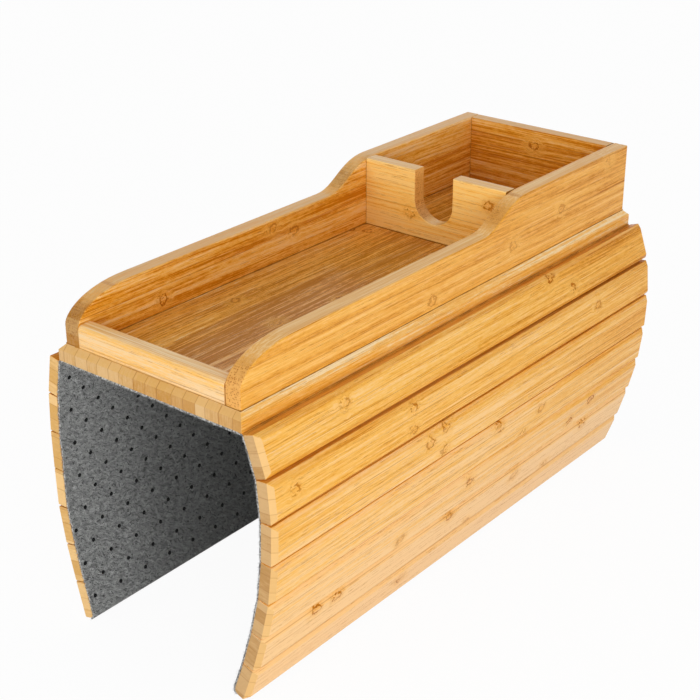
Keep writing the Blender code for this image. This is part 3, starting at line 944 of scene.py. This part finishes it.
@dataclass
class FeltBacking:
    """The felt sheet under the panel and the slats, its printed dots and its loose fibres.

    A dot is a dome of a few rings, each given as shares of its radius and of its height.
    """

    wings: list[Wing]
    tip_wrap: float = math.radians(72)
    row_count: int = 66
    ragged: float = 0.30 * MM
    soaked_from: float = -3.5
    soaked_to: float = 2.5
    dot_radius: float = 1.35 * MM
    dot_height: float = 0.30 * MM
    dot_sides: int = 12
    dot_margin: float = 1.0 * MM
    dome: tuple[Span, ...] = ((1.0, 0.02), (0.92, 0.62), (0.55, 0.95))
    column_pitch: float = 10.6 * MM
    row_pitch: float = 22.64 * MM
    columns: range = range(-4, 45)
    lattice_turn: float = 0.052
    column_turn: float = -0.016
    first_column: float = -191.1 * MM
    first_row: float = -107.6 * MM
    fibres_per_metre: float = 7000.0
    tip_fibres: float = 0.35
    fibre_length: Span = (0.35 * MM, 2.2 * MM)
    fibre_width: float = 0.06 * MM
    fibre_root_mm: float = 0.15
    map_name = "unrolled"
    rng: random.Random = field(default_factory=lambda: random.Random(4))
    materials: dict[str, Material] = field(default_factory=dict)
    front: float = 0.0
    rear: float = 0.0

    def build(self) -> None:
        """Make the sheet in one part for each fold and one for the panel; the parts meet halfway over the slats."""
        self.materials = {name: finish.material(name) for name, finish in FELT_FINISHES.items()}
        low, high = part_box("felt_centre")
        self.front, self.rear = low.y, high.y
        half = self.wings[0].pitch / 2
        for wing in self.wings:
            for number, fold in enumerate(wing.folds, start=1):
                name = f"{wing.side.word}_{number}"
                stretch = Stretch(fold, -half, half)
                if fold is wing.folds[-1]:
                    flat_end = self._tip_reach(fold, f"felt_{name}")
                    end = flat_end + self.tip_wrap * stretch.tip_radius
                    stretch = replace(stretch, end=end, flat_end=flat_end)
                self._part(name, stretch)
        reach = self.wings[0].folds[0].reach - half
        self._part("centre", Stretch(Fold(Side.RIGHT, ROOT, ROOT), -reach, reach))

    @staticmethod
    def _tip_reach(fold: Fold, node: str) -> float:
        """Return how far the flat felt runs past the last hinge, as the CAD strip does."""
        sign = fold.side.value
        away = Vector((sign * math.cos(fold.after), 0.0, -math.sin(fold.after)))
        start = Vector((sign * fold.reach, 0.0, fold.height))
        return max((Vector((v.co.x, 0.0, v.co.z)) - start).dot(away) for v in frame["nodes"][node].data.vertices)

    def _part(self, name: str, stretch: Stretch) -> None:
        """Make one part of the sheet with its dots and fibres; only the part over the flat middle is attached to its
        body.

        Args:
            name: Ending of the pieces' names.
            stretch: What it covers.
        """
        fold = stretch.fold
        sheet = self._sheet(f"felt_sheet_{name}", stretch)
        dots = self._dots(f"dots_{name}", stretch)
        fibres = self._fibres(f"fibres_{name}", stretch)
        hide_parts(f"felt_{name}")
        bent = (fold.place(0.0, -fold.bend, fold.depth), fold.place(0.0, fold.bend, fold.depth))
        for piece in (sheet, dots, fibres):
            if fold.is_level:
                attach(piece, fold.parent)
            else:
                fold.parent
                fold.child
                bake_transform(piece)

    def _sheet(self, name: str, stretch: Stretch) -> Object:
        """Make a closed slab of felt, its two cut edges a little ragged."""
        fold = stretch.fold
        stations = stretch.stations()
        length = self.rear - self.front
        rows = [self.front + length * step / self.row_count for step in range(self.row_count + 1)]
        inset = [(abs(self.rng.gauss(0, self.ragged)), abs(self.rng.gauss(0, self.ragged))) for _ in stations]
        bm = bmesh.new()
        layer = bm.loops.layers.uv.new(self.map_name)
        place_on_sheet = {}
        low, high = [], []
        for grid in (low, high):
            for u, (cut_front, cut_rear) in zip(stations, inset):
                z = stretch.glued_height(u) if grid is high else stretch.exposed
                line = []
                for y in rows:
                    cut_y = min(max(y, self.front + cut_front), self.rear - cut_rear)
                    vert = bm.verts.new(stretch.at(cut_y, u, z))
                    place_on_sheet[vert] = (cut_y / MM, fold.side.value * (fold.unrolled + u) / MM)
                    line.append(vert)
                grid.append(line)
        for grid in (low, high):
            for u, line, following in zip(stations, grid, grid[1:]):
                # Faces of the glued side near a fold take the painted fold shade.
                is_near_fold = not fold.is_level and self.soaked_from * fold.bend < u < self.soaked_to * fold.bend
                bridge(bm, line, following, int(grid is high and is_near_fold))
        bridge(bm, low[0], high[0])
        bridge(bm, low[-1], high[-1])
        for index in (0, -1):
            bridge(bm, [line[index] for line in low], [line[index] for line in high], 2)
        for face in bm.faces:
            for loop in face.loops:
                loop[layer].uv = place_on_sheet[loop.vert]
        materials = [self.materials[key] for key in ("needle_felt", "glue_soaked_felt", "felt_fibres")]
        return mesh_object(name, bm, *materials)

    def _lattice(self, low: float, high: float) -> Iterable[Span]:
        """Yield the dots' places on the unrolled sheet between two distances from its middle."""
        margin = self.dot_radius + self.dot_margin
        for column in self.columns:
            start = self.first_row + (self.row_pitch / 2 if column % 2 else 0.0)
            first = math.ceil((low - start) / self.row_pitch - 1)
            last = math.floor((high - start) / self.row_pitch + 1)
            for row in range(first, last + 1):
                across = start + row * self.row_pitch
                y = self.first_column + column * self.column_pitch
                y -= self.lattice_turn * (across - self.first_row)
                across += self.column_turn * (y - self.first_column)
                if low <= across < high and self.front + margin < y < self.rear - margin:
                    yield y, across

    def _dots(self, name: str, stretch: Stretch) -> Object:
        """Make the low rubber domes on one part of the sheet."""
        bm = bmesh.new()
        fold = stretch.fold
        sign = fold.side.value
        stop = stretch.flat_end - self.dot_radius - self.dot_margin if stretch.has_tip else stretch.end
        low, high = sorted((sign * (fold.unrolled + stretch.start), sign * (fold.unrolled + stop)))
        for y, across in self._lattice(low, high):
            middle = sign * across - fold.unrolled
            rings = []
            for share, rise in self.dome:
                ring = []
                for side in range(self.dot_sides):
                    angle = math.tau * side / self.dot_sides
                    dy = share * self.dot_radius * math.cos(angle)
                    du = share * self.dot_radius * math.sin(angle)
                    ring.append(bm.verts.new(fold.place(y + dy, middle + du, stretch.exposed - rise * self.dot_height)))
                rings.append(ring)
            bm.faces.new(rings[0])
            for lower, upper in zip(rings, rings[1:]):
                bridge(bm, lower + lower[:1], upper + upper[:1])
            bm.faces.new(rings[-1])
        return mesh_object(name, bm, self.materials["rubber_dots"], smooth=True)

    def _fibres(self, name: str, stretch: Stretch) -> Object:
        """Make the loose fibres that stand out of the cut edges."""
        bm = bmesh.new()
        rng = self.rng
        for edge, outward in ((self.front, -1.0), (self.rear, 1.0)):
            for _ in range(int((stretch.end - stretch.start) * self.fibres_per_metre)):
                u = rng.uniform(stretch.start, stretch.end)
                way = Vector((outward, rng.gauss(0, 0.8), rng.gauss(0.1, 0.7)))
                self._fibre(bm, stretch, edge, u, way)
        if stretch.has_tip:
            for _ in range(int((self.rear - self.front) * self.fibres_per_metre * self.tip_fibres)):
                way = Vector((rng.gauss(0, 0.7), 1.0, rng.gauss(-0.2, 0.6)))
                self._fibre(bm, stretch, rng.uniform(self.front, self.rear), stretch.end, way)
        return mesh_object(name, bm, self.materials["felt_fibres"])

    def _fibre(self, bm: BMesh, stretch: Stretch, y: float, u: float, way: Vector) -> None:
        """Add one bent fibre, a closed three-sided spike.

        Args:
            bm: Where it goes.
            stretch: The part of the sheet that it grows from.
            y: Its root along the hinge.
            u: Its root across the hinge.
            way: Where it points, along and across the hinge and towards the wood.
        """
        rng = self.rng
        z = rng.uniform(stretch.exposed, stretch.glued - 0.1 * MM)
        length = rng.uniform(*self.fibre_length) * rng.uniform(0.4, 1.0)
        way = way.normalized()
        sag = Vector((rng.gauss(0, 0.25), rng.gauss(0, 0.25), rng.gauss(-0.1, 0.25)))
        aside = way.orthogonal().normalized()
        other = way.cross(aside)
        root = Vector((y, u, z)) - way * self.fibre_root_mm * MM
        middle = root + way * length * 0.5
        tip = root + (way + sag).normalized() * length
        rings = []
        for centre, width in ((root, self.fibre_width), (middle, self.fibre_width * 0.8)):
            angles = [math.tau * side / 3 for side in range(3)]
            points = [centre + (aside * math.cos(angle) + other * math.sin(angle)) * width for angle in angles]
            rings.append([bm.verts.new(stretch.at(*point)) for point in points])
        last = bm.verts.new(stretch.at(*tip))
        base, waist = rings
        bm.faces.new(base)
        for side, following in ((0, 1), (1, 2), (2, 0)):
            bm.faces.new((base[side], base[following], waist[following], waist[side]))
            bm.faces.new((waist[side], waist[following], last))


@dataclass
class Studio:
    """White sweep, soft lamps and the photograph's camera."""

    lens: float = 76.603
    sensor: float = 36.0
    clip: Span = (0.05, 50.0)
    camera_axes: tuple[Sequence[float], ...] = (
        (0.77667, -0.26512, 0.5714, 0.54164),
        (0.62991, 0.33113, -0.70255, -0.69021),
        (-0.00295, 0.90557, 0.42418, 0.36626),
        (0.0, 0.0, 0.0, 1.0),
    )
    floor_size: float = 12.0
    floor_drop: float = 0.5 * MM
    floor_colour: Colour = (0.94, 0.94, 0.94)
    floor_glow: float = 0.95
    horizon: float = 0.68
    zenith: float = 0.58
    lit_point: Triple = (0.0, 0.0, -0.05)

    def build(self) -> None:
        """Set the camera, floor, world and lamps."""
        self._camera()
        self._floor()
        self._world()
        self._lamp("key", (1.25, -0.95, 0.12), 0.9, 12.0)
        self._lamp("fill", (-0.6, -1.9, 0.3), 1.2, 8.0)
        bpy.context.scene.view_settings.view_transform = "Standard"
        LOG.info("the camera, the floor, the world and two lamps are set")

    def _camera(self) -> None:
        """Place the camera where the photograph was taken."""
        data = bpy.data.cameras.new("camera")
        data.lens = self.lens
        data.sensor_width = self.sensor
        data.clip_start, data.clip_end = self.clip
        camera = linked("camera", data)
        camera.matrix_world = Matrix(self.camera_axes)
        bpy.context.scene.camera = camera

    @staticmethod
    def _shown(net: NodeNet) -> Socket:
        """Return 1 for rays from the camera, from a reflection or through something clear, and 0 for light."""
        path = net.node("LightPath").outputs
        shown = net.larger(path["Is Camera Ray"], path["Is Glossy Ray"])
        return net.larger(shown, path["Is Transmission Ray"])

    def _floor(self) -> None:
        """Lay the pale floor under the wing tips."""
        bm = bmesh.new()
        bmesh.ops.create_grid(bm, x_segments=1, y_segments=1, size=self.floor_size / 2)
        net = NodeNet(bpy.data.materials.new("studio_floor"))
        net.finish(Base_Color=(*self.floor_colour, 1.0), Roughness=0.9, Specular_IOR_Level=0.1)
        glow = net.node("Emission", {"Color": WHITE, "Strength": 1.0})
        share = net.times(self._shown(net), self.floor_glow)
        paint = net.tree.nodes["Principled BSDF"]
        mixed = net.node("MixShader", {0: share, 1: paint.outputs[0], 2: glow.outputs[0]})
        net.wire(mixed.outputs[0], net.tree.nodes["Material Output"].inputs["Surface"])
        floor = mesh_object("studio_floor", bm, net.owner)
        floor.location.z = CAD_BOUNDS[0].z - self.floor_drop

    def _world(self) -> None:
        """Light the scene softly, more from the sides than from above; the camera and reflections see plain white."""
        net = NodeNet(bpy.data.worlds.new("studio"))
        rise = net.node("SeparateXYZ", {0: net.here("Generated")}).outputs[2]
        fade = {"Value": rise, "From Max": 0.8, "To Min": self.horizon, "To Max": self.zenith}
        soft = net.tree.nodes["Background"]
        net.wire(WHITE, soft.inputs["Color"])
        net.wire(net.node("MapRange", fade).outputs["Result"], soft.inputs["Strength"])
        plain = net.node("Background", {"Color": WHITE, "Strength": 1.0})
        mixed = net.node("MixShader", {0: self._shown(net), 1: soft.outputs[0], 2: plain.outputs[0]})
        net.wire(mixed.outputs[0], net.tree.nodes["World Output"].inputs["Surface"])
        bpy.context.scene.world = net.owner

    def _lamp(self, name: str, place: Sequence[float], size: float, power: float) -> None:
        """Hang a square soft lamp that faces the tray.

        Args:
            name: The lamp's name.
            place: Where it hangs.
            size: Its side length.
            power: Its power in watts.
        """
        data = bpy.data.lights.new(name, "AREA")
        data.shape = "SQUARE"
        data.size = size
        data.energy = power
        lamp = linked(name, data)
        lamp.location = place
        lamp.rotation_euler = (Vector(place) - Vector(self.lit_point)).to_track_quat("Z", "Y").to_euler()


# Tones of the right slats: partly strips of other tones, partly painted light, lighter towards the lowest slats.
RIGHT_TONES_AND_PAINTED_LIGHT = (0.20, 0.26, 0.42, 0.78, 0.80, 1.65, 1.25)
LEFT_TONES = (0.1, 0.0, 0.15, 0.1, 0.05, 0.2, 0.1)
RIGHT_KNOTS = (
    ((-132.0, 9.0), (102.0, 16.0), (80.0, 3.0)),
    ((-182.0, 11.2), (-77.0, 5.0), (-79.0, 18.2), (129.0, 10.2)),
    ((-46.0, 3.0), (-62.0, 7.4), (-46.0, 18.4)),
    ((14.0, 4.0), (64.0, 9.6), (45.0, 21.0)),
    ((-12.0, 6.8), (-80.0, 16.8), (111.0, 15.8), (136.0, 6.8)),
    ((-155.0, 3.0), (-136.0, 4.0), (-25.0, 3.0), (50.0, 7.0), (136.0, 3.0), (2.0, 23.0), (93.0, 21.0)),
    ((-64.0, 9.2),),
)


def main() -> None:
    """Dress the tray and set the studio."""
    logging.basicConfig(level=logging.INFO, format="%(name)s: %(message)s")
    Box().build()
    left_knots = [scattered_knots(20 + number, (2.0, 23.0), 3) for number in range(7)]
    left_wood = replace(Wing.wood, end_pale=(0.86, 0.56, 0.24), end_dark=(0.68, 0.39, 0.12))
    wings = [Wing(Side.RIGHT, RIGHT_TONES_AND_PAINTED_LIGHT, RIGHT_KNOTS), Wing(Side.LEFT, LEFT_TONES, left_knots, left_wood)]
    for wing in wings:
        wing.read_folds()
        wing.build()
    FeltBacking(wings).build()
    Studio().build()


if __name__ == "__main__":
    main()
